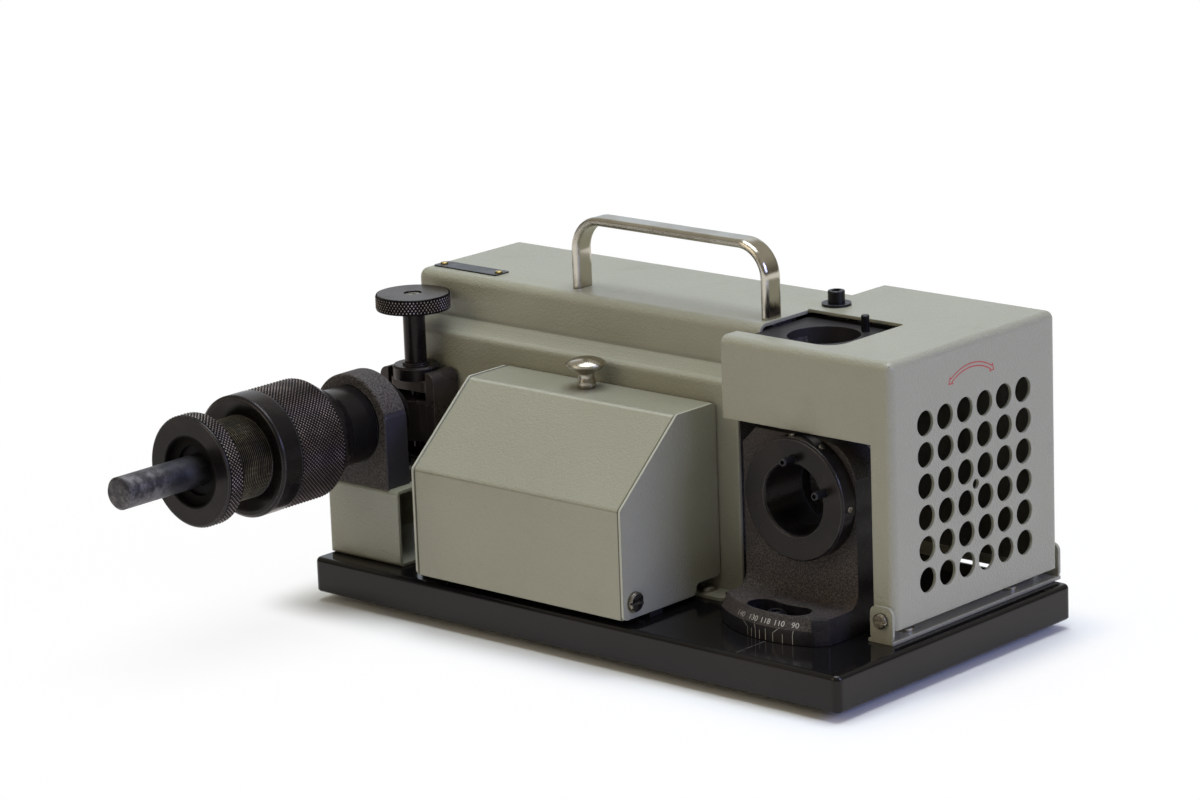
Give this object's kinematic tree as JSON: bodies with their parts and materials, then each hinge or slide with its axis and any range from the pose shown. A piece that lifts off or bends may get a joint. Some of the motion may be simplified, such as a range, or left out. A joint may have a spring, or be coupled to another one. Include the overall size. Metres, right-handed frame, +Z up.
{
  "type": "drill bit grinder",
  "caption": "Bench drill bit grinder: cast base, motor housing, perforated wheel hood, setting stand with collet holder and drill, swivelling front port, top port, tilting collet box.",
  "frame": {"origin": "centre of the base plate's underside, where the feet are screwed on", "axes": "+X from the setting station towards the wheel hood, +Y from the front towards the back, +Z up"},
  "size_m": [0.434, 0.4105, 0.241],
  "materials": {
    "base_enamel": "gloss black enamel",
    "foot_rubber": "matt black",
    "sheet_paint": "olive grey wrinkle paint",
    "black_sheet": "satin black",
    "black_casting": "rough black",
    "black_oxide": "turned and blackened",
    "ground_steel": "ground",
    "zinc_steel": "zinc plated",
    "dark_screw": "blackened",
    "bright_chrome": "polished",
    "tool_steel": "mottled grey",
    "abrasive": "gritty coat on a steel core",
    "plate_metal": "satin, left bare",
    "rivet_brass": "dull",
    "switch_plastic": "black",
    "motor_metal": "dark grey",
    "fan_plastic": "black"
  },
  "bodies": {
    "machine": {"base_plate": "base_enamel", "base_screws": "zinc_steel", "bearings": "ground_steel", "clamp_screw": "dark_screw", "collet_rack": "black_sheet", "cord_inlet": "switch_plastic", "ear_screws": "zinc_steel", "end_frame": "black_casting", "gauge_cap": "black_oxide", "gauge_guide": "black_oxide", "guide_screw": "dark_screw", "handle": "bright_chrome", "handle_screws": "zinc_steel", "hinge_lugs": "black_sheet", "hood": "sheet_paint", "hood_bolt": "dark_screw", "hood_strip": "sheet_paint", "hood_washer": "dark_screw", "motor_cradle": "black_casting", "motor_front_bell": "motor_metal", "motor_housing": "sheet_paint", "motor_rear_bell": "motor_metal", "motor_stator": "motor_metal", "name_plate": "plate_metal", "pivot_pin": "black_oxide", "pivot_screws": "zinc_steel", "plate_rivets": "rivet_brass", "rubber_feet": "foot_rubber", "screw_collar": "black_oxide", "setting_bracket": "black_casting", "setting_bush": "black_oxide", "stand_channel": "sheet_paint", "switch_body": "switch_plastic", "top_port": "black_sheet", "top_port_pin": "dark_screw", "top_port_screws": "zinc_steel"},
    "holder": {"holder_body": "black_oxide", "holder_collet": "black_oxide"},
    "nut": {"clamp_nut": "black_oxide"},
    "drill": {"drill_bit": "tool_steel"},
    "gauge_wheel": {"thumbwheel": "black_oxide", "thumbwheel_screw": "zinc_steel", "gauge_screw": "black_oxide"},
    "gauge": {"gauge_slide": "black_oxide"},
    "collet_box": {"box_cover": "sheet_paint", "box_sides": "sheet_paint", "box_knob": "bright_chrome"},
    "front_port": {"swivel_bracket": "black_casting", "port_sleeve": "black_oxide", "port_pins": "dark_screw", "sleeve_screws": "zinc_steel"},
    "spindle": {"rotor_shaft": "ground_steel", "cooling_fan": "fan_plastic", "grinding_wheel": "abrasive", "wheel_washer": "zinc_steel", "wheel_bolt": "dark_screw"},
    "rocker": {"switch_rocker": "switch_plastic"},
    "spares": {"spare_collets": "ground_steel"}
  },
  "joints": [
    {"name": "holder_pull", "type": "slide", "parent": "machine", "child": "holder", "axis": [0, -1, 0], "range_m": [0, 0.12]},
    {"name": "nut_turn", "type": "hinge", "parent": "holder", "child": "nut", "pos_m": [-0.186, -0.227, 0.1085], "axis": [0, 1, 0], "range_deg": [-180, 180]},
    {"name": "drill_slide", "type": "slide", "parent": "holder", "child": "drill", "axis": [0, 1, 0], "range_m": [-0.03, 0.003]},
    {"name": "thumbwheel_turn", "type": "hinge", "parent": "machine", "child": "gauge_wheel", "pos_m": [-0.186, -0.037, 0.172], "axis": [0, 0, 1], "range_deg": [-990, 990]},
    {"name": "gauge_lift", "type": "slide", "parent": "machine", "child": "gauge", "axis": [0, 0, 1], "range_m": [-0.0056, 0.0056]},
    {"name": "collet_box_tilt", "type": "hinge", "parent": "machine", "child": "collet_box", "pos_m": [0, -0.1022, 0.0362], "axis": [1, 0, 0], "range_deg": [0, 70]},
    {"name": "spares_lift", "type": "slide", "parent": "machine", "child": "spares", "axis": [0, 0, 1], "range_m": [0, 0.03]},
    {"name": "point_angle_swivel", "type": "hinge", "parent": "machine", "child": "front_port", "pos_m": [0.1325, -0.006, 0.022], "axis": [0, 0, 1], "range_deg": [-14, 11]},
    {"name": "spindle_spin", "type": "hinge", "parent": "machine", "child": "spindle", "pos_m": [0, 0.033, 0.1005], "axis": [1, 0, 0], "continuous": true},
    {"name": "switch_rock", "type": "hinge", "parent": "machine", "child": "rocker", "pos_m": [-0.207, 0.038, 0.128], "axis": [0, 1, 0], "range_deg": [0, 16]}
  ],
  "couplings": [
    {"joint": "gauge_lift", "follows": "thumbwheel_turn", "m_per_rad": 0.00031831}
  ]
}
